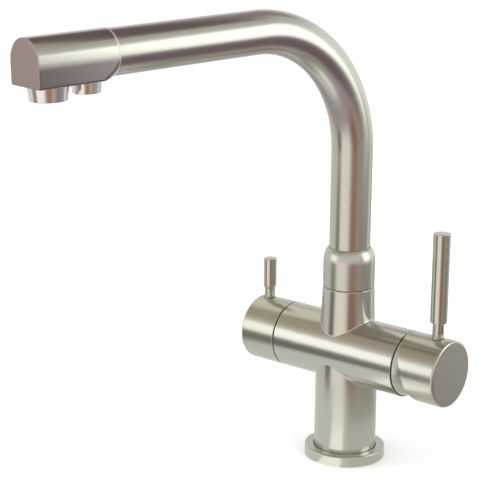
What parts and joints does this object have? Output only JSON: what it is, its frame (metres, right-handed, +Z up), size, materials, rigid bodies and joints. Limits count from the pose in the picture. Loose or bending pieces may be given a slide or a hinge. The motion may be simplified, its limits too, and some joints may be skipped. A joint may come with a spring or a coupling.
{
  "type": "kitchen mixer tap with drinking water outlet",
  "caption": "Column kitchen mixer with a swivel spout, a tilt-and-turn mixer lever on one end of its barrel and a quarter-turn drinking water lever on the other.",
  "frame": {"origin": "deck plane under the middle of the column", "axes": "+Z up along the column; +X along the barrel to the mixer handle; -Y towards the user"},
  "size_m": [0.162, 0.285, 0.3169],
  "materials": {
    "satin_nickel": "fine brushed, warm nickel tone",
    "polished_chrome": "polished",
    "plain_steel": "plain turned stainless steel",
    "brass": "turned, uncoated",
    "ceramic": "lapped alumina ceramic",
    "grey_acetal": "moulded",
    "white_acetal": "moulded",
    "white_polyethylene": "extruded",
    "black_rubber": "matte"
  },
  "bodies": {
    "tap": {"tap_body": "satin_nickel", "base_ring": "satin_nickel", "base_seal": "black_rubber", "cartridge_base": "grey_acetal", "cartridge_port_seals": "black_rubber", "cartridge_fixed_disc": "ceramic", "cartridge_housing": "grey_acetal", "cartridge_lock_nut": "brass", "dome_ring": "satin_nickel", "filter_valve_body": "brass", "filter_seat_seal": "black_rubber", "filter_fixed_disc": "ceramic", "glide_ring": "white_acetal", "spigot_ring": "black_rubber", "spout_stop_screw": "plain_steel"},
    "spout": {"swivel_collar": "satin_nickel", "swivel_nipple": "brass", "swivel_rings": "black_rubber", "filtered_spigot": "brass", "spout_tube": "satin_nickel", "filtered_hose": "white_polyethylene", "spout_head": "satin_nickel", "outlet_elbow": "brass", "aerator_housing": "polished_chrome", "aerator_insert": "white_acetal", "aerator_washer": "black_rubber", "nozzle_housing": "polished_chrome", "nozzle_insert": "white_acetal", "nozzle_washer": "black_rubber"},
    "temperature_guide": {"spindle_guide": "grey_acetal", "pivot_pin": "plain_steel"},
    "flow_slide": {"disc_carrier": "grey_acetal", "cartridge_moving_disc": "ceramic"},
    "mixer_handle": {"mixer_spindle": "plain_steel", "mixer_hub": "satin_nickel", "mixer_lever": "satin_nickel", "mixer_grub_screw": "plain_steel"},
    "filter_handle": {"filter_spindle": "brass", "filter_moving_disc": "ceramic", "filter_spindle_ring": "black_rubber", "filter_clip": "plain_steel", "filter_hub": "satin_nickel", "filter_lever": "satin_nickel", "filter_grub_screw": "plain_steel"}
  },
  "joints": [
    {"name": "spout_swivel", "type": "hinge", "parent": "tap", "child": "spout", "pos_m": [0, 0, 0.123], "axis": [0, 0, 1], "continuous": true},
    {"name": "temperature_turn", "type": "hinge", "parent": "tap", "child": "temperature_guide", "pos_m": [0.042, 0, 0.078], "axis": [1, 0, 0], "range_deg": [-50, 50]},
    {"name": "flow_tilt", "type": "hinge", "parent": "temperature_guide", "child": "mixer_handle", "pos_m": [0.042, 0, 0.078], "axis": [0, 1, 0], "range_deg": [0, 25]},
    {"name": "disc_travel", "type": "slide", "parent": "temperature_guide", "child": "flow_slide", "axis": [0, 0, 1], "range_m": [0, 0.00542]},
    {"name": "filter_turn", "type": "hinge", "parent": "tap", "child": "filter_handle", "pos_m": [-0.06, 0, 0.078], "axis": [1, 0, 0], "range_deg": [0, 90]}
  ],
  "couplings": [
    {"joint": "disc_travel", "follows": "flow_tilt", "m_per_rad": 0.012401}
  ]
}
